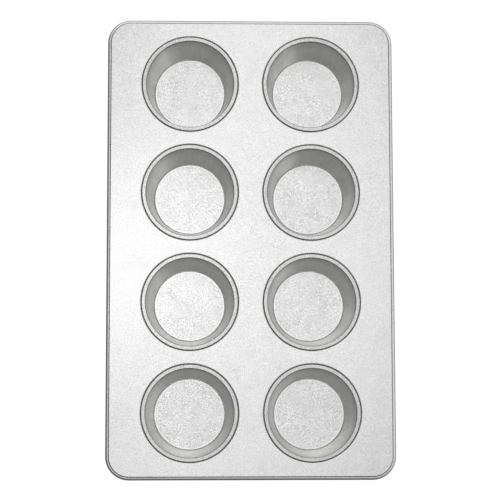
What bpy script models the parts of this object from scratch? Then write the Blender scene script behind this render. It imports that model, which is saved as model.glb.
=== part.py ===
# Jumbo muffin pan with eight cups in two columns of four.
# A flat top sheet has its edge rolled round a steel wire, and a collar turned down
# round each hole. Each deep drawn cup hangs in its hole by a raised lip, and the
# skirt of the lip is folded up round the collar as a locked seam.
# Metres, +Z up, +Y along the length. The origin is under the middle of the pan, on
# the surface that the cups stand on.

import math

import bmesh
import bpy
from mathutils import Matrix, Vector

# Inside of a cup: its mouth, its depth below the lip, the lean of its wall and the
# bend between wall and floor
MOUTH_RADIUS = 0.0433
CUP_DEPTH = 0.0508
WALL_DRAFT = math.radians(8.7)
FLOOR_BEND = 0.001
CUP_THICKNESS = 0.00055

# Lip of a cup: the flat ring on its top, the inner radius of its two bends, and how
# far it stands above the sheet
LIP_FLAT = 0.002565
LIP_BEND = 0.0002
LIP_RISE = 0.0002

# Seam under the sheet: the bend and straight depth of the collar, and how far the
# folded edge of the cup stays below the collar's bend
COLLAR_BEND = 0.0007
COLLAR_STRAIGHT = 0.0032
FOLD_STOP = 0.0008

# Layout: the sheet left between two holes of a column, between the two columns, and
# from the outer holes to the ends and sides of the pan
COLUMNS = 2
ROWS = 4
ROW_WEB = 0.0132
COLUMN_WEB = 0.0244
END_MARGIN = 0.01715
SIDE_MARGIN = 0.034

# Rolled edge: how far its top lies below the flat of the sheet, the inner radius of the
# two bends of the shoulder between them, the wire in it, the butt joint of the wire, and
# the height left between the end of the roll and the top of the roll
CORNER_RADIUS = 0.023
SHEET_THICKNESS = 0.00055
SHOULDER_DROP = 0.0016
SHOULDER_BEND = 0.0004
WIRE_DIAMETER = 0.003
WIRE_JOINT = 0.001
ROLL_SLOT = 0.0012

# Clearance between two pieces that touch
CLEARANCE = 0.0003

# Fineness of the round forms, the distance within which points on a cup's axis become
# one, and the angle below which neighbouring faces are shaded as one surface
CUP_STEPS = 32
CORNER_STEPS = 5
ROLL_STEPS = 8
FLOOR_BEND_STEPS = 2
EDGE_BEND_STEPS = 1
AXIS_MERGE = 0.00001
SMOOTH_BELOW = math.radians(50)

# Heights
LIP_TOP = CUP_THICKNESS + CUP_DEPTH
SHEET_TOP = LIP_TOP - LIP_RISE
SHEET_MIDDLE = SHEET_TOP - SHEET_THICKNESS / 2
COLLAR_EDGE = SHEET_TOP - SHEET_THICKNESS - COLLAR_BEND - COLLAR_STRAIGHT
FOLD_BOTTOM = COLLAR_EDGE - CLEARANCE - CUP_THICKNESS / 2
FOLD_TOP = SHEET_TOP - SHEET_THICKNESS - COLLAR_BEND - FOLD_STOP

# Radii round the axis of a cup, from the lip outward through the seam
LIP_TANGENT = (LIP_BEND + CUP_THICKNESS) * math.tan((math.pi / 2 - WALL_DRAFT) / 2)
SKIRT_OUTSIDE = MOUTH_RADIUS + LIP_TANGENT + LIP_FLAT + LIP_BEND + CUP_THICKNESS
HOLE_RADIUS = SKIRT_OUTSIDE + CLEARANCE
SKIRT_MIDDLE = SKIRT_OUTSIDE - CUP_THICKNESS / 2
COLLAR_MIDDLE = HOLE_RADIUS + SHEET_THICKNESS / 2
FOLD_MIDDLE = HOLE_RADIUS + SHEET_THICKNESS + CLEARANCE + CUP_THICKNESS / 2

# Plan of the pan
ROW_PITCH = 2 * HOLE_RADIUS + ROW_WEB
COLUMN_PITCH = 2 * HOLE_RADIUS + COLUMN_WEB
PAN_WIDTH = (COLUMNS - 1) * COLUMN_PITCH + 2 * (HOLE_RADIUS + SIDE_MARGIN)
PAN_LENGTH = (ROWS - 1) * ROW_PITCH + 2 * (HOLE_RADIUS + END_MARGIN)

# The roll: radius of the middle of its metal, its axis inside the pan's outline, and the
# edge of the flat inside that outline
ROLL_MIDDLE = WIRE_DIAMETER / 2 + CLEARANCE + SHEET_THICKNESS / 2
ROLL_INSET = ROLL_MIDDLE + SHEET_THICKNESS / 2
ROLL_TOP = SHEET_MIDDLE - SHOULDER_DROP
ROLL_HEIGHT = ROLL_TOP - ROLL_MIDDLE
SHOULDER_MIDDLE = SHOULDER_BEND + SHEET_THICKNESS / 2
FLAT_INSET = ROLL_INSET + 2 * SHOULDER_MIDDLE


def clear_scene():
    for old in list(bpy.data.objects):
        bpy.data.objects.remove(old, do_unlink=True)


def make_collection(name):
    collection = bpy.data.collections.new(name)
    bpy.context.scene.collection.children.link(collection)
    return collection


def make_steel(name, color, roughness):
    material = bpy.data.materials.new(name)
    material.use_nodes = True
    shader = material.node_tree.nodes["Principled BSDF"]
    shader.inputs["Base Color"].default_value = (*color, 1.0)
    shader.inputs["Metallic"].default_value = 1.0
    shader.inputs["Roughness"].default_value = roughness
    return material


def add_object(collection, name, data, material, location=(0, 0, 0)):
    piece = bpy.data.objects.new(name, data)
    piece.location = location
    if not data.materials:
        data.materials.append(material)
    collection.objects.link(piece)
    return piece


def add_thickness(piece, thickness):
    solidify = piece.modifiers.new("Thickness", "SOLIDIFY")
    solidify.thickness = thickness
    solidify.offset = 0
    solidify.use_even_offset = True


# Points of a bent strip in section, with an arc of the given radius and number of
# steps at each corner between its first and last point
def bent_strip(corners):
    points = [Vector(corners[0][0])]
    for (before, _, _), (corner, radius, steps), (after, _, _) in zip(corners, corners[1:], corners[2:]):
        corner = Vector(corner)
        back = (Vector(before) - corner).normalized()
        onward = (Vector(after) - corner).normalized()
        if radius == 0:
            points.append(corner)
            continue
        half_angle = back.angle(onward) / 2
        center = corner + (back + onward).normalized() * radius / math.sin(half_angle)
        start = corner + back * radius / math.tan(half_angle) - center
        turn = start.angle_signed(corner + onward * radius / math.tan(half_angle) - center)
        for step in range(steps + 1):
            points.append(center + Matrix.Rotation(-turn * step / steps, 2) @ start)
    points.append(Vector(corners[-1][0]))
    return points


# Radius of the middle of a cup's wall, or of its line run on, at a height
def wall_radius(height):
    rise = height - LIP_TOP
    return MOUTH_RADIUS + rise * math.tan(WALL_DRAFT) + CUP_THICKNESS / 2 / math.cos(WALL_DRAFT)


# Middle of a cup's metal in section: floor, wall, lip, skirt and folded edge
def cup_section():
    floor = CUP_THICKNESS / 2
    lip = LIP_TOP - CUP_THICKNESS / 2
    floor_bend = FLOOR_BEND + CUP_THICKNESS / 2
    lip_bend = LIP_BEND + CUP_THICKNESS / 2
    return bent_strip([
        ((0, floor), 0, 0),
        ((wall_radius(floor), floor), floor_bend, FLOOR_BEND_STEPS),
        ((wall_radius(lip), lip), lip_bend, EDGE_BEND_STEPS),
        ((SKIRT_MIDDLE, lip), lip_bend, EDGE_BEND_STEPS),
        ((SKIRT_MIDDLE, FOLD_BOTTOM), 0, 0),
        ((FOLD_MIDDLE, FOLD_BOTTOM), 0, 0),
        ((FOLD_MIDDLE, FOLD_TOP), 0, 0),
    ])


def make_cup_mesh():
    points = [(radius, 0, height) for radius, height in reversed(cup_section())]
    edges = [(index, index + 1) for index in range(len(points) - 1)]
    mesh = bpy.data.meshes.new("cup")
    mesh.from_pydata(points, edges, [])
    return mesh


def cup_places():
    left = -(COLUMNS - 1) * COLUMN_PITCH / 2
    far = (ROWS - 1) * ROW_PITCH / 2
    for row in range(ROWS):
        for column in range(COLUMNS):
            yield Vector((left + column * COLUMN_PITCH, far - row * ROW_PITCH, 0))


def make_cups(collection, steel):
    mesh = make_cup_mesh()
    for number, place in enumerate(cup_places(), start=1):
        cup = add_object(collection, f"cup_{number}", mesh, steel, place)
        spin = cup.modifiers.new("Spin", "SCREW")
        spin.steps = CUP_STEPS
        spin.render_steps = CUP_STEPS
        spin.use_merge_vertices = True
        spin.merge_threshold = AXIS_MERGE
        spin.use_smooth_shade = True
        add_thickness(cup, CUP_THICKNESS)


# Corners of the rounded rectangle at a distance inside the pan's outline, starting
# where its long left side ends at the near left corner
def outline_points(inset, height):
    radius = CORNER_RADIUS - inset
    across = PAN_WIDTH / 2 - CORNER_RADIUS
    along = PAN_LENGTH / 2 - CORNER_RADIUS
    centers = [(-across, -along), (across, -along), (across, along), (-across, along)]
    points = []
    for quarter, (x, y) in enumerate(centers):
        for step in range(CORNER_STEPS + 1):
            angle = math.pi + (quarter + step / CORNER_STEPS) * math.pi / 2
            points.append(Vector((x + radius * math.cos(angle), y + radius * math.sin(angle), height)))
    return points


# Direction straight out of the pan's rounded outline at a point
def out_of_outline(point):
    across = PAN_WIDTH / 2 - CORNER_RADIUS
    along = PAN_LENGTH / 2 - CORNER_RADIUS
    center = Vector((min(max(point.x, -across), across), min(max(point.y, -along), along)))
    return (point.xy - center).normalized().to_3d()


# Direction straight away from the axis of a hole at a point of its rim
def out_of_hole(place):
    return lambda point: (point.xy - place.xy).normalized().to_3d()


# Pull a loop of edges along a section, given as distances outward and heights
def pull_edges(mesh, edges, outward, section):
    for (near, low), (far, high) in zip(section, section[1:]):
        pulled = bmesh.ops.extrude_edge_only(mesh, edges=edges)["geom"]
        edges = [item for item in pulled if isinstance(item, bmesh.types.BMEdge) and item.is_boundary]
        for vertex in [item for item in pulled if isinstance(item, bmesh.types.BMVert)]:
            vertex.co += outward(vertex.co) * (far - near)
            vertex.co.z += high - low


# Section of the collar that is turned down round a hole
def collar_section():
    bend = COLLAR_BEND + SHEET_THICKNESS / 2
    return bent_strip([
        ((COLLAR_MIDDLE + bend, SHEET_MIDDLE), 0, 0),
        ((COLLAR_MIDDLE, SHEET_MIDDLE), bend, EDGE_BEND_STEPS),
        ((COLLAR_MIDDLE, COLLAR_EDGE), 0, 0),
    ])[1:]


# Section of the shoulder, from the edge of the flat down to the top of the roll
def shoulder_section():
    bend = SHOULDER_MIDDLE
    return bent_strip([
        ((-2 * bend, SHEET_MIDDLE), 0, 0),
        ((-bend, SHEET_MIDDLE), bend, EDGE_BEND_STEPS),
        ((-bend, ROLL_TOP), bend, EDGE_BEND_STEPS),
        ((0, ROLL_TOP), 0, 0),
    ])[1:-2]


# Section of the roll, from its top outward and under the wire
def roll_section():
    rise = ROLL_MIDDLE - SHEET_THICKNESS / 2 - ROLL_SLOT
    wrap = 3 * math.pi / 2 + math.asin(rise / ROLL_MIDDLE)
    angles = [wrap * step / ROLL_STEPS for step in range(ROLL_STEPS + 1)]
    return [(ROLL_MIDDLE * math.sin(angle), ROLL_HEIGHT + ROLL_MIDDLE * math.cos(angle)) for angle in angles]


def make_sheet(collection, steel):
    form = bmesh.new()
    corners = [form.verts.new(point) for point in outline_points(FLAT_INSET, SHEET_MIDDLE)]
    rim = [form.edges.new((first, second)) for first, second in zip(corners, corners[1:] + corners[:1])]
    collar = collar_section()
    holes = []
    for place in cup_places():
        spot = Matrix.Translation((place.x, place.y, SHEET_MIDDLE)) @ Matrix.Rotation(-math.pi / 2, 4, "Z")
        ring = bmesh.ops.create_circle(form, segments=CUP_STEPS, radius=collar[0][0], matrix=spot)["verts"]
        holes.append((place, list({edge for vertex in ring for edge in vertex.link_edges})))
    bmesh.ops.triangle_fill(form, edges=list(form.edges), use_beauty=True, normal=(0, 0, 1))
    pull_edges(form, rim, out_of_outline, shoulder_section() + roll_section())
    for place, edges in holes:
        pull_edges(form, edges, out_of_hole(place), collar)
    bmesh.ops.recalc_face_normals(form, faces=form.faces)
    mesh = bpy.data.meshes.new("top_sheet")
    form.to_mesh(mesh)
    form.free()
    mesh.shade_smooth()
    mesh.set_sharp_from_angle(angle=SMOOTH_BELOW)
    sheet = add_object(collection, "top_sheet", mesh, steel)
    add_thickness(sheet, SHEET_THICKNESS)


# The wire in the rolled edge, with its butt joint halfway along the left side
def make_wire(collection, steel):
    route = outline_points(ROLL_INSET, ROLL_HEIGHT)
    left = route[0].x
    ends = [Vector((left, side * WIRE_JOINT / 2, ROLL_HEIGHT)) for side in (-1, 1)]
    route = [ends[0], *route, ends[1]]
    curve = bpy.data.curves.new("rim_wire", "CURVE")
    curve.dimensions = "3D"
    curve.bevel_depth = WIRE_DIAMETER / 2
    curve.bevel_resolution = 2
    curve.use_fill_caps = True
    spline = curve.splines.new("POLY")
    spline.points.add(len(route) - 1)
    for control, point in zip(spline.points, route):
        control.co = (*point, 1)
    add_object(collection, "rim_wire", curve, steel)


def main():
    clear_scene()
    parts = make_collection("jumbo_muffin_pan")
    sheet_steel = make_steel("sheet_steel", (0.74, 0.74, 0.73), 0.38)
    cup_steel = make_steel("cup_steel", (0.66, 0.66, 0.64), 0.34)
    wire_steel = make_steel("wire_steel", (0.5, 0.5, 0.5), 0.45)
    make_sheet(parts, sheet_steel)
    make_wire(parts, wire_steel)
    make_cups(parts, cup_steel)


main()
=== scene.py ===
import math

import bmesh
import bpy
from mathutils import Matrix, Vector


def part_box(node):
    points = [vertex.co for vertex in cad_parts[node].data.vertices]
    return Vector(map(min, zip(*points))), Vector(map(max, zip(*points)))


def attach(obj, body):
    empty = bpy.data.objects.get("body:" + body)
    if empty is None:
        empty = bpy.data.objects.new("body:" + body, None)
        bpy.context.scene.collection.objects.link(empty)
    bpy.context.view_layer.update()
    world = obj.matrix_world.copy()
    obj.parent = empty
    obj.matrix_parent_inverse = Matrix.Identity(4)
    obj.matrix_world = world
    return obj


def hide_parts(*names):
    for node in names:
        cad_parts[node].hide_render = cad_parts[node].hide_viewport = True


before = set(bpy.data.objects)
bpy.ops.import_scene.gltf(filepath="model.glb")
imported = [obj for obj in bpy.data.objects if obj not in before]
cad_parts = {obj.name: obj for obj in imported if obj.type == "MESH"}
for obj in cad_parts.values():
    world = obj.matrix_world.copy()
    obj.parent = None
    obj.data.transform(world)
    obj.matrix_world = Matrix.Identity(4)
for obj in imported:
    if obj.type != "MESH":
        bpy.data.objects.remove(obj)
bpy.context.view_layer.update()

# A cup: inside sizes in metres, and how finely its mesh is cut
cup = {
    "mouthRadius": 0.0433,  # where the straight wall would meet the top of the lip
    "depth": 0.0508,
    "wallDraft": math.radians(8.7),
    "floorBend": 0.001,
    "metal": 0.00055,
    "lipFlat": 0.002565,
    "lipBend": 0.0002,
    "foldStop": 0.0008,  # how far below the straight top of the collar the fold ends
    "pressTurn": math.radians(137.5),  # how far each cup's draw marks are turned from the last one's
    "steps": 160,
    "bendSteps": 8,
}

# The top sheet, its collars and its rolled edge
sheet = {
    "metal": 0.00055,
    "lipRise": 0.0002,  # how far the lips of the cups stand above the sheet
    "collarBend": 0.0007,
    "collarStraight": 0.0032,
    "cornerRadius": 0.023,
    "shoulderDrop": 0.0016,  # from the flat down to the top of the roll
    "shoulderBend": 0.0001,
    "ledge": 0.0006,  # the flat strip between the roll and the shoulder
    "rollSlot": 0.0012,  # what the end of the roll leaves open under the sheet
    "cornerSteps": 24,
    "rollSteps": 44,
    "bendSteps": 8,
}

# The wire in the rolled edge
wire = {
    "diameter": 0.003,
    "joint": 0.001,
    "sides": 24,
}

clearance = 0.0003  # between metals that are folded over each other
mergeWithin = 1e-6
findWithin = 1e-5
bendShare = 0.98  # a bend takes a little less than its room, so that it ends before the next one

# Places taken from the frame
sheetLow, sheetHigh = [Vector(corner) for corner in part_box("top_sheet")]
cupNames = sorted(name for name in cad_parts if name.startswith("cup_"))
cupPlaces = {name: (Vector(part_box(name)[0]) + Vector(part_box(name)[1])) / 2 for name in cupNames}
lipTop = cup["metal"] + cup["depth"]
sheetTop = lipTop - sheet["lipRise"]
collarTop = sheetTop - sheet["metal"] - sheet["collarBend"]

# Radii that the cup and the hole in the sheet share
lipTangent = (cup["lipBend"] + cup["metal"]) * math.tan((math.pi / 2 - cup["wallDraft"]) / 2)
skirtOutside = cup["mouthRadius"] + lipTangent + cup["lipFlat"] + cup["lipBend"] + cup["metal"]
holeRadius = skirtOutside + clearance

# The roll and the shoulder, at the middle of the metal
rollMiddle = wire["diameter"] / 2 + clearance + sheet["metal"] / 2
rollInset = rollMiddle + sheet["metal"] / 2
rollHeight = sheetTop - sheet["shoulderDrop"] - rollInset
shoulderBend = sheet["shoulderBend"] + sheet["metal"] / 2
acrossStraight = 2 * (sheetHigh.x - sheet["cornerRadius"])
alongStraight = 2 * (sheetHigh.y - sheet["cornerRadius"])


def finishPiece(form, name, node, material):
    mesh = bpy.data.meshes.new(name)
    form.to_mesh(mesh)
    form.free()
    mesh.shade_smooth()
    piece = bpy.data.objects.new(name, mesh)
    bpy.context.scene.collection.objects.link(piece)
    mesh.materials.append(material)
    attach(piece, "root")
    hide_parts(node)
    return piece


def thicken(piece, metal):
    shell = piece.modifiers.new("metal", "SOLIDIFY")
    shell.thickness = metal
    shell.offset = 0
    shell.use_even_offset = True
    normals = piece.modifiers.new("evenShading", "WEIGHTED_NORMAL")
    normals.mode = "FACE_AREA"


def bendEdges(form, edges, room, steps):
    bmesh.ops.bevel(form, geom=edges, offset=room, offset_type="OFFSET", segments=steps,
                    profile=0.5, affect="EDGES", material=-1)


# Round one ring of a spun form, where the metal turns by an angle, to a bend radius
def bendRing(form, corner, turn, bend, steps):
    radius, height = corner

    def onRing(vertex):
        return (abs(vertex.co.xy.length - radius) < findWithin
                and abs(vertex.co.z - height) < findWithin)

    ring = [edge for edge in form.edges if all(onRing(vertex) for vertex in edge.verts)]
    bendEdges(form, ring, bend * math.tan(turn / 2), steps)


def buildCup(name, material):
    half = cup["metal"] / 2
    lip = lipTop - half
    skirt = skirtOutside - half
    fold = holeRadius + sheet["metal"] + clearance + half
    foldBottom = collarTop - sheet["collarStraight"] - clearance - half
    lean = math.tan(cup["wallDraft"])

    def wallRadius(height):
        return cup["mouthRadius"] + (height - lipTop) * lean + half / math.cos(cup["wallDraft"])

    # half a section, from the middle of the floor up the wall, over the lip and up the fold
    corners = [(0, half), (wallRadius(half), half), (wallRadius(lip), lip), (skirt, lip),
               (skirt, foldBottom), (fold, foldBottom), (fold, collarTop - cup["foldStop"])]
    form = bmesh.new()
    chain = [form.verts.new((radius, 0, height)) for radius, height in corners]
    for pair in zip(chain, chain[1:]):
        form.edges.new(pair)
    bmesh.ops.spin(form, geom=form.verts[:] + form.edges[:], cent=(0, 0, 0), axis=(0, 0, 1),
                   angle=2 * math.pi, steps=cup["steps"], use_merge=True)
    bmesh.ops.remove_doubles(form, verts=form.verts[:], dist=mergeWithin)
    wallTurn = math.pi / 2 - cup["wallDraft"]
    foldBend = (fold - skirt) / 2 * bendShare
    bends = [(wallTurn, cup["floorBend"] + half), (wallTurn, cup["lipBend"] + half),
             (math.pi / 2, cup["lipBend"] + half), (math.pi / 2, foldBend), (math.pi / 2, foldBend)]
    for corner, (turn, bend) in zip(corners[1:], bends):
        bendRing(form, corner, turn, bend, cup["bendSteps"])
    bmesh.ops.recalc_face_normals(form, faces=form.faces[:])
    # each cup was pressed in its hole at an angle of its own, so its draw marks lie turned
    place = form.verts.layers.float_vector.new("cupPlace")
    pressed = Matrix.Rotation(cupNames.index(name) * cup["pressTurn"], 3, "Z")
    for vertex in form.verts:
        vertex[place] = pressed @ vertex.co
    center = cupPlaces[name]
    bmesh.ops.translate(form, verts=form.verts[:], vec=(center.x, center.y, 0))
    piece = finishPiece(form, "fine_" + name, name, material)
    thicken(piece, cup["metal"])


def pushSection(form, edges, run):
    pushed = bmesh.ops.extrude_edge_only(form, edges=edges)["geom"]
    vertices = [item for item in pushed if isinstance(item, bmesh.types.BMVert)]
    bmesh.ops.translate(form, verts=vertices, vec=run)
    moved = set(vertices)
    return [item for item in pushed
            if isinstance(item, bmesh.types.BMEdge) and set(item.verts) <= moved]


# Carry a section round the pan's rounded outline, from the near end of the left side,
# with a straight run after each corner
def sweepOutline(form, edges, runs):
    across, along = acrossStraight / 2, alongStraight / 2
    centers = [(-across, -along, 0), (across, -along, 0), (across, along, 0), (-across, along, 0)]
    for center, run in zip(centers, runs):
        ends = dict.fromkeys(vertex for edge in edges for vertex in edge.verts)
        section = list(ends) + edges
        last = bmesh.ops.spin(form, geom=section, cent=center, axis=(0, 0, 1), angle=math.pi / 2,
                              steps=sheet["cornerSteps"])["geom_last"]
        edges = [item for item in last if isinstance(item, bmesh.types.BMEdge)]
        edges = pushSection(form, edges, run)


# How far a point lies inside the pan's rounded outline
def insetOf(point):
    past = [max(abs(point[axis]) - sheetHigh[axis] + sheet["cornerRadius"], 0) for axis in (0, 1)]
    return sheet["cornerRadius"] - math.hypot(*past)


# Edges that run round the outline at this height and this far inside it
def outlineEdges(form, height, inset):
    def onLine(vertex):
        return (abs(vertex.co.z - height) < findWithin
                and abs(insetOf(vertex.co) - inset) < findWithin)
    return [edge for edge in form.edges if all(onLine(vertex) for vertex in edge.verts)]


def buildSheet(material):
    form = bmesh.new()
    # the roll in section, from its top over the wire and back under the sheet
    start = Vector((sheetLow.x + rollInset, sheetLow.y + sheet["cornerRadius"],
                    rollHeight + rollMiddle))
    rise = rollMiddle - sheet["metal"] / 2 - sheet["rollSlot"]
    wrap = 3 * math.pi / 2 + math.asin(rise / rollMiddle)
    bmesh.ops.spin(form, geom=[form.verts.new(start)], cent=start - Vector((0, 0, rollMiddle)),
                   axis=(0, 1, 0), angle=-wrap, steps=sheet["rollSteps"])
    # a narrow ledge and the shoulder above it, as a sharp step that is bent after the sweep
    last = min(form.verts, key=lambda vertex: (vertex.co - start).length)
    toStep = sheet["ledge"] + shoulderBend
    toFlat = shoulderBend * (2 - bendShare)
    for step in ((toStep, 0, 0), (0, 0, sheet["shoulderDrop"]), (toFlat, 0, 0)):
        corner = form.verts.new(last.co + Vector(step))
        form.edges.new((last, corner))
        last = corner
    sweepOutline(form, form.edges[:], [(acrossStraight, 0, 0), (0, alongStraight, 0),
                                       (-acrossStraight, 0, 0), (0, -alongStraight, 0)])
    bmesh.ops.remove_doubles(form, verts=form.verts[:], dist=mergeWithin)
    flatHeight = start.z + sheet["shoulderDrop"]
    for height in (start.z, flatHeight):
        bendEdges(form, outlineEdges(form, height, rollInset + toStep), shoulderBend * bendShare,
                  sheet["bendSteps"])
    # the flat, between the shoulder and the eight holes
    border = [edge for edge in form.edges if edge.is_boundary
              and all(abs(vertex.co.z - flatHeight) < mergeWithin for vertex in edge.verts)]
    rings = []
    for center in cupPlaces.values():
        spot = Matrix.Translation((center.x, center.y, flatHeight))
        ring = bmesh.ops.create_circle(form, segments=cup["steps"],
                                       radius=holeRadius + sheet["metal"] / 2, matrix=spot)["verts"]
        rings.append(list(dict.fromkeys(edge for vertex in ring for edge in vertex.link_edges)))
    ringEdges = [edge for ring in rings for edge in ring]
    bmesh.ops.triangle_fill(form, edges=border + ringEdges, use_beauty=True, normal=(0, 0, 1))
    drop = flatHeight - (collarTop - sheet["collarStraight"])
    for ring in rings:
        pushSection(form, ring, (0, 0, -drop))
    bendEdges(form, ringEdges, sheet["collarBend"] + sheet["metal"] / 2, sheet["bendSteps"])
    bmesh.ops.recalc_face_normals(form, faces=form.faces[:])
    piece = finishPiece(form, "fine_top_sheet", "top_sheet", material)
    thicken(piece, sheet["metal"])


# The wire starts and ends at its butt joint, in the middle of the left side
def buildWire(material):
    form = bmesh.new()
    spot = Matrix.Translation((sheetLow.x + rollInset, -wire["joint"] / 2, rollHeight))
    bmesh.ops.create_circle(form, segments=wire["sides"], radius=wire["diameter"] / 2,
                            matrix=spot @ Matrix.Rotation(math.pi / 2, 4, "X"))
    half = (alongStraight - wire["joint"]) / 2
    edges = pushSection(form, form.edges[:], (0, -half, 0))
    sweepOutline(form, edges, [(acrossStraight, 0, 0), (0, alongStraight, 0),
                               (-acrossStraight, 0, 0), (0, -half, 0)])
    ends = [edge for edge in form.edges if edge.is_boundary]
    bmesh.ops.holes_fill(form, edges=ends, sides=wire["sides"])
    bmesh.ops.recalc_face_normals(form, faces=form.faces[:])
    finishPiece(form, "fine_rim_wire", "rim_wire", material)


def addNode(tree, kind, values=None, **settings):
    node = tree.nodes.new(kind)
    for name, value in settings.items():
        setattr(node, name, value)
    for socket, value in (values or {}).items():
        node.inputs[socket].default_value = value
    return node


def mathOf(tree, operation, first, second):
    node = addNode(tree, "ShaderNodeMath", operation=operation)
    for socket, value in zip(node.inputs, (first, second)):
        if isinstance(value, (int, float)):
            socket.default_value = value
        else:
            tree.links.new(value, socket)
    return node.outputs[0]


# The same for vectors, of which the second may be left out
def vectorOf(tree, operation, first, second=None):
    node = addNode(tree, "ShaderNodeVectorMath", operation=operation)
    tree.links.new(first, node.inputs[0])
    if isinstance(second, tuple):
        node.inputs[1].default_value = second
    elif second is not None:
        tree.links.new(second, node.inputs[1])
    return node


# A value that rises smoothly from 0 to 1 between two values of a socket
def rampOf(tree, socket, low, high):
    ramp = addNode(tree, "ShaderNodeMapRange", {"From Min": low, "From Max": high},
                   interpolation_type="SMOOTHSTEP")
    tree.links.new(socket, ramp.inputs["Value"])
    return ramp.outputs["Result"]


# A value that is 1 near a middle and 0 beyond a width on either side of it
def bandOf(tree, socket, middle, width):
    away = mathOf(tree, "ABSOLUTE", mathOf(tree, "SUBTRACT", socket, middle), 0)
    return rampOf(tree, away, width, width / 2)


# A middle value plus weighted sockets, each of which is counted from one half
def sumOf(tree, parts, middle):
    total = middle
    for socket, weight in parts:
        step = addNode(tree, "ShaderNodeMath", {1: weight}, operation="MULTIPLY_ADD")
        tree.links.new(mathOf(tree, "SUBTRACT", socket, 0.5), step.inputs[0])
        if total is middle:
            step.inputs[2].default_value = middle
        else:
            tree.links.new(total, step.inputs[2])
        total = step.outputs[0]
    return total


# A colour between two, by a value from 0 to 1
def blendColor(tree, factor, low, high):
    mix = addNode(tree, "ShaderNodeMix", data_type="RGBA")
    tree.links.new(factor, mix.inputs["Factor"])
    for socket, color in ((mix.inputs[6], low), (mix.inputs[7], high)):
        if isinstance(color, tuple):
            socket.default_value = (*color, 1)
        else:
            tree.links.new(color, socket)
    return mix.outputs[2]


def addBump(tree, shader, height, distance):
    bump = addNode(tree, "ShaderNodeBump", {"Strength": 0.3, "Distance": distance})
    tree.links.new(height, bump.inputs["Height"])
    tree.links.new(bump.outputs["Normal"], shader.inputs["Normal"])


# A shader node group with named sockets, returned with its two ends
def startGroup(name, inputs, outputs):
    group = bpy.data.node_groups.new(name, "ShaderNodeTree")
    for socket, kind in inputs.items():
        group.interface.new_socket(socket, in_out="INPUT", socket_type=kind)
    for socket, kind in outputs.items():
        group.interface.new_socket(socket, in_out="OUTPUT", socket_type=kind)
    return group, group.nodes.new("NodeGroupInput"), group.nodes.new("NodeGroupOutput")


def useGroup(tree, group, place, values):
    node = addNode(tree, "ShaderNodeGroup", values, node_tree=group)
    tree.links.new(place, node.inputs["Place"])
    return node


# How much each part of the coating's grain counts in its tone and in its relief
coating = {
    "crystalTone": 0.45,
    "speckTone": 0.9,
    "cloudTone": 0.5,
    "crystalHeight": 0.6,
    "speckHeight": 0.8,
    "patchSeed": 3,
    "patchRange": (0.38, 0.62),
    "patchStrength": (0.4, 1.5),
}


# Fine crystals of the aluminium coating, with faint clouds over them
def makeGrainGroup():
    group, start, end = startGroup(
        "coatingGrain",
        {"Place": "NodeSocketVector", "Fineness": "NodeSocketFloat", "Cloudiness": "NodeSocketFloat"},
        {"Tone": "NodeSocketFloat", "Height": "NodeSocketFloat"})
    crystals = addNode(group, "ShaderNodeTexVoronoi", voronoi_dimensions="3D", feature="F1")
    specks = addNode(group, "ShaderNodeTexNoise", {"Detail": 2, "Roughness": 0.6})
    clouds = addNode(group, "ShaderNodeTexNoise", {"Detail": 3, "Roughness": 0.55})
    patches = addNode(group, "ShaderNodeTexNoise", {"Detail": 2, "Roughness": 0.6, "Distortion": 0.8},
                      noise_dimensions="4D")
    patches.inputs["W"].default_value = coating["patchSeed"]
    for texture, size in ((crystals, "Fineness"), (specks, "Fineness"),
                          (clouds, "Cloudiness"), (patches, "Cloudiness")):
        group.links.new(start.outputs["Place"], texture.inputs["Vector"])
        group.links.new(start.outputs[size], texture.inputs["Scale"])
    # one channel of the crystals' colour gives the tone, and another the relief
    single = addNode(group, "ShaderNodeSeparateColor")
    group.links.new(crystals.outputs["Color"], single.inputs[0])
    # the fine grain is strong in some patches and faint in others
    low, high = coating["patchRange"]
    faint, strong = coating["patchStrength"]
    strength = addNode(group, "ShaderNodeMapRange",
                       {"From Min": low, "From Max": high, "To Min": faint, "To Max": strong})
    group.links.new(patches.outputs["Fac"], strength.inputs["Value"])
    grain = sumOf(group, [(single.outputs[0], coating["crystalTone"]),
                          (specks.outputs["Fac"], coating["speckTone"])], 0)
    patchy = mathOf(group, "MULTIPLY", grain, strength.outputs["Result"])
    cloudy = sumOf(group, [(clouds.outputs["Fac"], coating["cloudTone"])], 0.5)
    height = sumOf(group, [(single.outputs[1], coating["crystalHeight"]),
                           (specks.outputs["Fac"], coating["speckHeight"])], 0.5)
    group.links.new(mathOf(group, "ADD", patchy, cloudy), end.inputs["Tone"])
    group.links.new(height, end.inputs["Height"])
    return group


# The marks lie on a drum, whose pattern is stretched up it for streaks and round it for rings
drawing = {
    "drumRadius": 0.04,
    "Streaks": {"up": 0.06, "round": 1.0},
    "Rings": {"up": 1.0, "round": 0.05},
}


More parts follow.
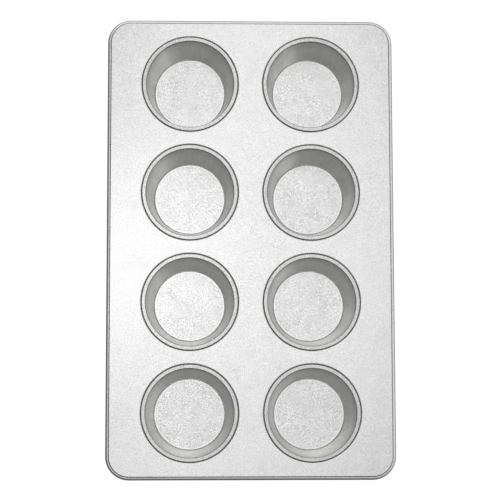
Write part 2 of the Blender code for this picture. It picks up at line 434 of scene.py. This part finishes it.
# Marks that drawing the cup leaves on its wall: streaks down the wall, and rings round it
def makeDrawGroup():
    group, start, end = startGroup(
        "drawMarks",
        {"Place": "NodeSocketVector", "Fineness": "NodeSocketFloat"},
        {"Streaks": "NodeSocketFloat", "Rings": "NodeSocketFloat"})
    place = start.outputs["Place"]
    split = addNode(group, "ShaderNodeSeparateXYZ")
    group.links.new(place, split.inputs[0])
    flat = vectorOf(group, "MULTIPLY", place, (1, 1, 0))
    around = vectorOf(group, "NORMALIZE", flat.outputs[0])
    drum = vectorOf(group, "SCALE", around.outputs[0])
    drum.inputs["Scale"].default_value = drawing["drumRadius"]
    for name in ("Streaks", "Rings"):
        lift = addNode(group, "ShaderNodeCombineXYZ")
        height = mathOf(group, "MULTIPLY", split.outputs["Z"], drawing[name]["up"])
        group.links.new(height, lift.inputs["Z"])
        side = vectorOf(group, "MULTIPLY", drum.outputs[0], (drawing[name]["round"],) * 3)
        spot = vectorOf(group, "ADD", side.outputs[0], lift.outputs[0])
        marks = addNode(group, "ShaderNodeTexNoise", {"Detail": 3, "Roughness": 0.6})
        group.links.new(spot.outputs[0], marks.inputs["Vector"])
        group.links.new(start.outputs["Fineness"], marks.inputs["Scale"])
        group.links.new(marks.outputs["Fac"], end.inputs[name])
    return group


# Smudges are full where their noise is above a value. Scratches lie in three directions
handling = {
    "smudgeFull": 0.85,
    "scratchTurns": (0.35, 1.45, 2.5),
    "scratchShifts": (0, 3, 7),
    "scratchScale": (9, 420, 90),
    "scratchRange": (0.66, 0.74),
}


# Smudges from hands and cloths, and fine scratches, both as masks from 0 to 1
def makeHandlingGroup():
    group, start, end = startGroup(
        "handlingMarks",
        {"Place": "NodeSocketVector", "Smudge Scale": "NodeSocketFloat",
         "Smudge Start": "NodeSocketFloat"},
        {"Smudges": "NodeSocketFloat", "Scratches": "NodeSocketFloat"})
    smudges = addNode(group, "ShaderNodeTexNoise", {"Detail": 4, "Roughness": 0.55, "Distortion": 0.6})
    group.links.new(start.outputs["Place"], smudges.inputs["Vector"])
    group.links.new(start.outputs["Smudge Scale"], smudges.inputs["Scale"])
    above = addNode(group, "ShaderNodeMapRange", {"From Max": handling["smudgeFull"]},
                    interpolation_type="SMOOTHSTEP")
    group.links.new(smudges.outputs["Fac"], above.inputs["Value"])
    group.links.new(start.outputs["Smudge Start"], above.inputs["From Min"])
    group.links.new(above.outputs["Result"], end.inputs["Smudges"])
    thinFrom, thinTo = handling["scratchRange"]
    scratches = 0
    for turn, shift in zip(handling["scratchTurns"], handling["scratchShifts"]):
        lay = addNode(group, "ShaderNodeMapping", {
            "Location": (shift, 0, 0), "Rotation": (0, 0, turn), "Scale": handling["scratchScale"]})
        group.links.new(start.outputs["Place"], lay.inputs["Vector"])
        hairs = addNode(group, "ShaderNodeTexNoise",
                        {"Scale": 1, "Detail": 1, "Roughness": 0.5, "Distortion": 0.1})
        group.links.new(lay.outputs[0], hairs.inputs["Vector"])
        thin = addNode(group, "ShaderNodeMapRange", {"From Min": thinFrom, "From Max": thinTo})
        group.links.new(hairs.outputs["Fac"], thin.inputs["Value"])
        scratches = mathOf(group, "MAXIMUM", thin.outputs["Result"], scratches)
    group.links.new(scratches, end.inputs["Scratches"])
    return group


def startSteel(name):
    material = bpy.data.materials.new(name)
    material.use_nodes = True
    tree = material.node_tree
    shader = tree.nodes["Principled BSDF"]
    shader.inputs["Metallic"].default_value = 1
    place = addNode(tree, "ShaderNodeTexCoord").outputs["Object"]
    return material, tree, shader, place


# Distance out from the core of the sheet's rounded outline, which is the corner radius at its edge
def outlineReach(tree, place):
    size = vectorOf(tree, "ABSOLUTE", place)
    past = vectorOf(tree, "SUBTRACT", size.outputs[0], (acrossStraight / 2, alongStraight / 2, 1))
    outside = vectorOf(tree, "MAXIMUM", past.outputs[0], (0, 0, 0))
    return vectorOf(tree, "LENGTH", outside.outputs[0]).outputs["Value"]


# How the sheet looks: the dark and the pale of its reflected light, and sizes in metres
steel = {
    "dark": (0.66, 0.66, 0.66),
    "pale": (0.99, 0.99, 0.985),
    "grain": 0.0013,
    "cloud": 0.016,
    "relief": 0.00004,
    "roughness": 0.29,
    "rimTone": (0.9, 0.9, 0.9),
    "rimRoughness": 0.35,
    "rimWidth": 0.0036,
    # a painted shade line along the crease where the flat steps down to the roll
    "creasePlace": 0.0032,
    "creaseShadeWidth": 0.0007,
    "creaseShadeTone": (0.24, 0.24, 0.235),
    # painted shade on the collars, which stand below the flat round the holes
    "collarShadeTone": (0.66, 0.66, 0.65),
    "collarDepth": 0.0003,  # the collars' painted shade is full this far below the flat
    "smudgeScale": 22,
    "smudgeStart": 0.5,
    "grainGloss": 0.10,  # how far the grain and the marks change the roughness
    "smudgeGloss": 0.05,
    "scratchGloss": -0.012,
}


def makeSheetSteel(grainGroup, handlingGroup):
    material, tree, shader, place = startSteel("sheetSteel")
    grain = useGroup(tree, grainGroup, place,
                     {"Fineness": 1 / steel["grain"], "Cloudiness": 1 / steel["cloud"]})
    marks = useGroup(tree, handlingGroup, place, {"Smudge Scale": steel["smudgeScale"],
                                                  "Smudge Start": steel["smudgeStart"]})
    # the rolled edge is evener than the flat. The crease beside it and the collars are darkened with
    # painted shade
    edge = sheet["cornerRadius"] - steel["rimWidth"]
    reach = outlineReach(tree, place)
    rim = rampOf(tree, reach, edge, edge + steel["rimWidth"] / 3)
    color = blendColor(tree, grain.outputs["Tone"], steel["dark"], steel["pale"])
    color = blendColor(tree, rim, color, steel["rimTone"])
    split = addNode(tree, "ShaderNodeSeparateXYZ")
    tree.links.new(place, split.inputs[0])
    # painted shade on what lies below the flat outside the rolled edge, mostly the collars round the
    # holes
    below = rampOf(tree, split.outputs["Z"], sheetTop, sheetTop - steel["collarDepth"])
    color = blendColor(tree, mathOf(tree, "SUBTRACT", below, rim), color, steel["collarShadeTone"])
    # painted shade: a dark line along the crease where the flat steps down to the roll
    crease = bandOf(tree, reach, sheet["cornerRadius"] - steel["creasePlace"], steel["creaseShadeWidth"])
    color = blendColor(tree, crease, color, steel["creaseShadeTone"])
    tree.links.new(color, shader.inputs["Base Color"])
    gloss = sumOf(tree, [(grain.outputs["Tone"], steel["grainGloss"]),
                         (marks.outputs["Smudges"], steel["smudgeGloss"]),
                         (marks.outputs["Scratches"], steel["scratchGloss"]),
                         (rim, steel["rimRoughness"] - steel["roughness"])],
                  (steel["rimRoughness"] + steel["roughness"]) / 2)
    tree.links.new(gloss, shader.inputs["Roughness"])
    addBump(tree, shader, grain.outputs["Height"], steel["relief"])
    return material


# The floor of a cup has a stronger grain than the sheet, and a painted highlight ring at its edge
cupFloor = {
    "dark": (0.49, 0.49, 0.49),
    "pale": (1.0, 1.0, 1.0),
    "grain": 0.001,
    "contrast": 0.97,
    "roughness": 0.26,
    "highlightRingPlace": 0.0343,
    "highlightRingWidth": 0.0007,
    "highlightRingHeight": (0.0018, 0.0012),  # the painted highlight ring fades in down the foot of the wall
    "ringTone": (0.84, 0.84, 0.83),
}

# The lip of a cup, duller than the sheet round it, with a painted shade line at its inner edge
# where it bends down into the wall. Its places are counted out from the radius of the mouth
cupLip = {
    "dark": (0.46, 0.46, 0.46),
    "pale": (0.81, 0.81, 0.805),
    "start": -0.0002,
    "full": 0.0004,
    "shadeLinePlace": 0.0002,
    "shadeLineWidth": 0.0005,
    "shadeLineTone": (0.42, 0.42, 0.41),
}

# The wall of a cup is smoother and warmer than its floor. It is darker towards the mouth,
# with a painted shade line where the darkening ends. Depths are counted down from the lip
cupWall = {
    "dark": (0.7, 0.7, 0.67),
    "pale": (1.0, 1.0, 0.965),
    "streak": 0.0016,
    "relief": 0.00005,
    "roughness": 0.32,
    "footStart": 0.0008,
    "footFull": 0.0018,
    "upperWallDarkTone": (0.42, 0.42, 0.4),
    "upperWallDarkShare": 0.36,
    "upperWallDarkDepth": 0.022,
    "shadeLineDepth": 0.0024,
    "shadeLineWidth": 0.0006,
    "shadeLineShare": 0.25,
    "middleTone": 0.4,
    "streakTone": 1.2,
    "ringTone": 0.5,
    "grainTone": 0.4,
    "smudgeTone": -0.5,
    "ringRelief": 0.8,
    "streakRelief": 0.8,
    "grainRelief": 1.1,
    "toneGloss": 0.08,
    "smudgeGloss": 0.06,
    "smudgeScale": 40,
    "smudgeStart": 0.52,
}


def makeCupSteel(grainGroup, drawGroup, handlingGroup):
    material, tree, shader, place = startSteel("cupSteel")
    cupPlace = addNode(tree, "ShaderNodeAttribute", attribute_name="cupPlace").outputs["Vector"]
    grain = useGroup(tree, grainGroup, place,
                     {"Fineness": 1 / cupFloor["grain"], "Cloudiness": 1 / steel["cloud"]})
    draw = useGroup(tree, drawGroup, cupPlace, {"Fineness": 1 / cupWall["streak"]})
    marks = useGroup(tree, handlingGroup, place, {"Smudge Scale": cupWall["smudgeScale"],
                                                  "Smudge Start": cupWall["smudgeStart"]})
    # where on the cup a point lies: on the lip, on the wall or in the painted highlight ring round the
    # floor
    split = addNode(tree, "ShaderNodeSeparateXYZ")
    tree.links.new(cupPlace, split.inputs[0])
    height = split.outputs["Z"]
    around = vectorOf(tree, "MULTIPLY", cupPlace, (1, 1, 0))
    radius = vectorOf(tree, "LENGTH", around.outputs[0]).outputs["Value"]
    mouth = cup["mouthRadius"]
    lip = rampOf(tree, radius, mouth + cupLip["start"], mouth + cupLip["full"])
    wall = mathOf(tree, "SUBTRACT",
                  rampOf(tree, height, cupWall["footStart"], cupWall["footFull"]), lip)
    # the painted highlight ring round the floor's edge
    ring = mathOf(tree, "MULTIPLY", bandOf(tree, radius, cupFloor["highlightRingPlace"], cupFloor["highlightRingWidth"]),
                  rampOf(tree, height, *cupFloor["highlightRingHeight"]))
    floorTone = sumOf(tree, [(grain.outputs["Tone"], cupFloor["contrast"])], 0.5)
    floorColor = blendColor(tree, floorTone, cupFloor["dark"], cupFloor["pale"])
    wallTone = sumOf(tree, [(draw.outputs["Streaks"], cupWall["streakTone"]),
                            (draw.outputs["Rings"], cupWall["ringTone"]),
                            (grain.outputs["Tone"], cupWall["grainTone"]),
                            (marks.outputs["Smudges"], cupWall["smudgeTone"])],
                     cupWall["middleTone"])
    wallColor = blendColor(tree, wallTone, cupWall["dark"], cupWall["pale"])
    # darker towards the mouth, and a painted shade line round the wall under the lip where the
    # darkening ends
    upperWallDarkEnd = lipTop - cupWall["shadeLineDepth"]
    upperWallDark = rampOf(tree, height, lipTop - cupWall["upperWallDarkDepth"], upperWallDarkEnd)
    wallShadeLine = bandOf(tree, height, upperWallDarkEnd, cupWall["shadeLineWidth"])
    for mark, share in ((upperWallDark, cupWall["upperWallDarkShare"]), (wallShadeLine, cupWall["shadeLineShare"])):
        wallColor = blendColor(tree, mathOf(tree, "MULTIPLY", mark, share), wallColor,
                               cupWall["upperWallDarkTone"])
    lipColor = blendColor(tree, grain.outputs["Tone"], cupLip["dark"], cupLip["pale"])
    color = blendColor(tree, lip, blendColor(tree, wall, floorColor, wallColor), lipColor)
    # a painted shade line on the bend from the lip down into the wall
    mouthShadeLine = bandOf(tree, radius, mouth + cupLip["shadeLinePlace"], cupLip["shadeLineWidth"])
    color = blendColor(tree, mouthShadeLine, color, cupLip["shadeLineTone"])
    # a painted highlight ring on the bend between the floor and the wall
    color = blendColor(tree, ring, color, cupFloor["ringTone"])
    tree.links.new(color, shader.inputs["Base Color"])
    gloss = sumOf(tree, [(wallTone, cupWall["toneGloss"]),
                         (marks.outputs["Smudges"], cupWall["smudgeGloss"]),
                         (wall, cupWall["roughness"] - cupFloor["roughness"])],
                  (cupWall["roughness"] + cupFloor["roughness"]) / 2)
    tree.links.new(gloss, shader.inputs["Roughness"])
    relief = sumOf(tree, [(draw.outputs["Rings"], cupWall["ringRelief"]),
                          (draw.outputs["Streaks"], cupWall["streakRelief"]),
                          (grain.outputs["Height"], cupWall["grainRelief"])], 0.5)
    addBump(tree, shader, relief, cupWall["relief"])
    return material


# Plain drawn wire, hidden in the roll
wireFinish = {
    "dark": (0.42, 0.42, 0.42),
    "pale": (0.6, 0.6, 0.59),
    "fineness": 1500,
    "cloudiness": 80,
    "roughness": 0.42,
    "grainGloss": 0.1,
}


def makeWireSteel(grainGroup):
    material, tree, shader, place = startSteel("wireSteel")
    grain = useGroup(tree, grainGroup, place, {"Fineness": wireFinish["fineness"],
                                               "Cloudiness": wireFinish["cloudiness"]})
    tone = grain.outputs["Tone"]
    color = blendColor(tree, tone, wireFinish["dark"], wireFinish["pale"])
    tree.links.new(color, shader.inputs["Base Color"])
    gloss = sumOf(tree, [(tone, wireFinish["grainGloss"])], wireFinish["roughness"])
    tree.links.new(gloss, shader.inputs["Roughness"])
    return material


# The camera of the photograph, almost straight above the near half of the pan.
# Its focal length is in widths of the picture
camera = {
    "focal": 3.443,
    "place": (-0.0613, -0.1982, 1.7276),
    "tilt": {"X": math.radians(-6.638), "Y": math.radians(2.056), "Z": math.radians(-0.116)},
}


def placeCamera():
    data = bpy.data.cameras.new("camera")
    data.sensor_width = 36
    data.lens = camera["focal"] * data.sensor_width
    seen = bpy.data.objects.new("camera", data)
    toX, toY, toZ = [Matrix.Rotation(angle, 3, axis) for axis, angle in camera["tilt"].items()]
    turned = (toZ @ toY @ toX).transposed().to_4x4()
    seen.matrix_world = Matrix.Translation(camera["place"]) @ turned
    bpy.context.scene.collection.objects.link(seen)
    bpy.context.scene.camera = seen


# The floor: its glow is bright to the camera, which keeps it white, and faint to the pan
floor = {
    "reach": 3,
    "below": 0.0002,
    "paper": (0.05, 0.05, 0.05),
    "roughness": 0.9,
    "glow": 1.0,
    "glowOnPan": 0.07,
}


def buildStage():
    form = bmesh.new()
    bmesh.ops.create_grid(form, x_segments=1, y_segments=1, size=floor["reach"])
    bmesh.ops.translate(form, verts=form.verts[:], vec=(0, 0, -floor["below"]))
    mesh = bpy.data.meshes.new("floor")
    form.to_mesh(mesh)
    form.free()
    ground = bpy.data.objects.new("floor", mesh)
    bpy.context.scene.collection.objects.link(ground)
    material = bpy.data.materials.new("floorPaper")
    material.use_nodes = True
    tree = material.node_tree
    shader = tree.nodes["Principled BSDF"]
    shader.inputs["Base Color"].default_value = (*floor["paper"], 1)
    shader.inputs["Roughness"].default_value = floor["roughness"]
    shader.inputs["Emission Color"].default_value = (1, 1, 1, 1)
    rays = addNode(tree, "ShaderNodeLightPath")
    glow = addNode(tree, "ShaderNodeMapRange", {"To Min": floor["glowOnPan"], "To Max": floor["glow"]})
    tree.links.new(rays.outputs["Is Camera Ray"], glow.inputs["Value"])
    tree.links.new(glow.outputs["Result"], shader.inputs["Emission Strength"])
    mesh.materials.append(material)


# Soft lamps: where each one hangs, its width and depth, and how bright its face is
lamps = {
    "overhead": ((-0.02, 0.1, 2.2), 1.2, 1.2, 0.27),
    "overheadLeft": ((-0.22, 0.22, 2.2), 0.45, 0.45, 1.59),
    "overheadFar": ((0.2, 0.66, 2.2), 1, 0.5, 0.59),
    "far": ((0, 1.22, 2.2), 0.6, 0.6, 0.80),
    "farRight": ((1.03, 1.78, 2.2), 0.9, 0.9, 0.90),
    "farLow": ((-0.6, 2.1, 1.26), 2.2, 1.1, 0.60),
    "right": ((2, 0, 2.2), 1, 1, 0.83),
    "rightFar": ((1.9, 1.1, 1.26), 1.1, 1.1, 0.70),
    "nearRight": ((1.06, -0.61, 2.2), 0.6, 0.6, 0.76),
    "left": ((-1.06, 0.61, 2.2), 0.6, 0.6, 0.23),
    "farLeft": ((-1.03, 1.78, 2.2), 0.9, 0.9, 0.80),
    "overheadRight": ((0.35, 0.1, 2.2), 0.5, 0.5, 0.56),
    "overheadNearLeft": ((-0.17, -0.3, 2.2), 0.36, 0.36, 0.83),
    "overheadNearRight": ((0.17, -0.3, 2.2), 0.36, 0.36, 0.49),
    "farHigh": ((0, 0.75, 2.2), 0.5, 0.5, 0.16),
}

# How bright the room is above and towards each side, and what the camera sees behind the pan
room = {
    "above": ("Z", 1, 0.37),
    "left": ("X", -1, 0.10),
    "right": ("X", 1, 0.60),
    "near": ("Y", -1, 0.06),
    "far": ("Y", 1, 0.60),
}
backdrop = 0.95


def hangLamps():
    for name, (place, width, depth, brightness) in lamps.items():
        data = bpy.data.lights.new(name, "AREA")
        data.shape = "ELLIPSE"
        data.size = width
        data.size_y = depth
        # the power of an even face is its brightness times pi times its area
        data.energy = brightness * math.pi * math.pi / 4 * width * depth
        lamp = bpy.data.objects.new(name, data)
        lamp.location = place
        lamp.rotation_euler = (-Vector(place)).to_track_quat("-Z", "Y").to_euler()
        lamp.visible_camera = False
        bpy.context.scene.collection.objects.link(lamp)


def lightRoom():
    world = bpy.data.worlds.new("studio")
    world.use_nodes = True
    tree = world.node_tree
    sky = tree.nodes["Background"]
    # each side's share of the light from a direction is the square of how far it points that way
    way = addNode(tree, "ShaderNodeSeparateXYZ")
    tree.links.new(addNode(tree, "ShaderNodeTexCoord").outputs["Generated"], way.inputs[0])
    light = 0
    for axis, sign, brightness in room.values():
        toSide = mathOf(tree, "MAXIMUM", mathOf(tree, "MULTIPLY", way.outputs[axis], sign), 0)
        share = mathOf(tree, "MULTIPLY", mathOf(tree, "POWER", toSide, 2), brightness)
        light = mathOf(tree, "ADD", share, light)
    rays = addNode(tree, "ShaderNodeLightPath")
    glow = addNode(tree, "ShaderNodeMapRange", {"To Max": backdrop})
    tree.links.new(rays.outputs["Is Camera Ray"], glow.inputs["Value"])
    tree.links.new(light, glow.inputs["To Min"])
    tree.links.new(glow.outputs["Result"], sky.inputs["Strength"])
    sky.inputs["Color"].default_value = (1, 1, 1, 1)
    bpy.context.scene.world = world
    bpy.context.scene.view_settings.view_transform = "Standard"


placeCamera()
buildStage()
hangLamps()
lightRoom()
print("camera, floor and lights are set")
grainGroup = makeGrainGroup()
drawGroup = makeDrawGroup()
handlingGroup = makeHandlingGroup()
sheetSteel = makeSheetSteel(grainGroup, handlingGroup)
cupSteel = makeCupSteel(grainGroup, drawGroup, handlingGroup)
wireSteel = makeWireSteel(grainGroup)
print("steels are made")
buildSheet(sheetSteel)
print("top sheet is built")
for name in cupNames:
    buildCup(name, cupSteel)
print("cups are built")
buildWire(wireSteel)
print("rim wire is built")
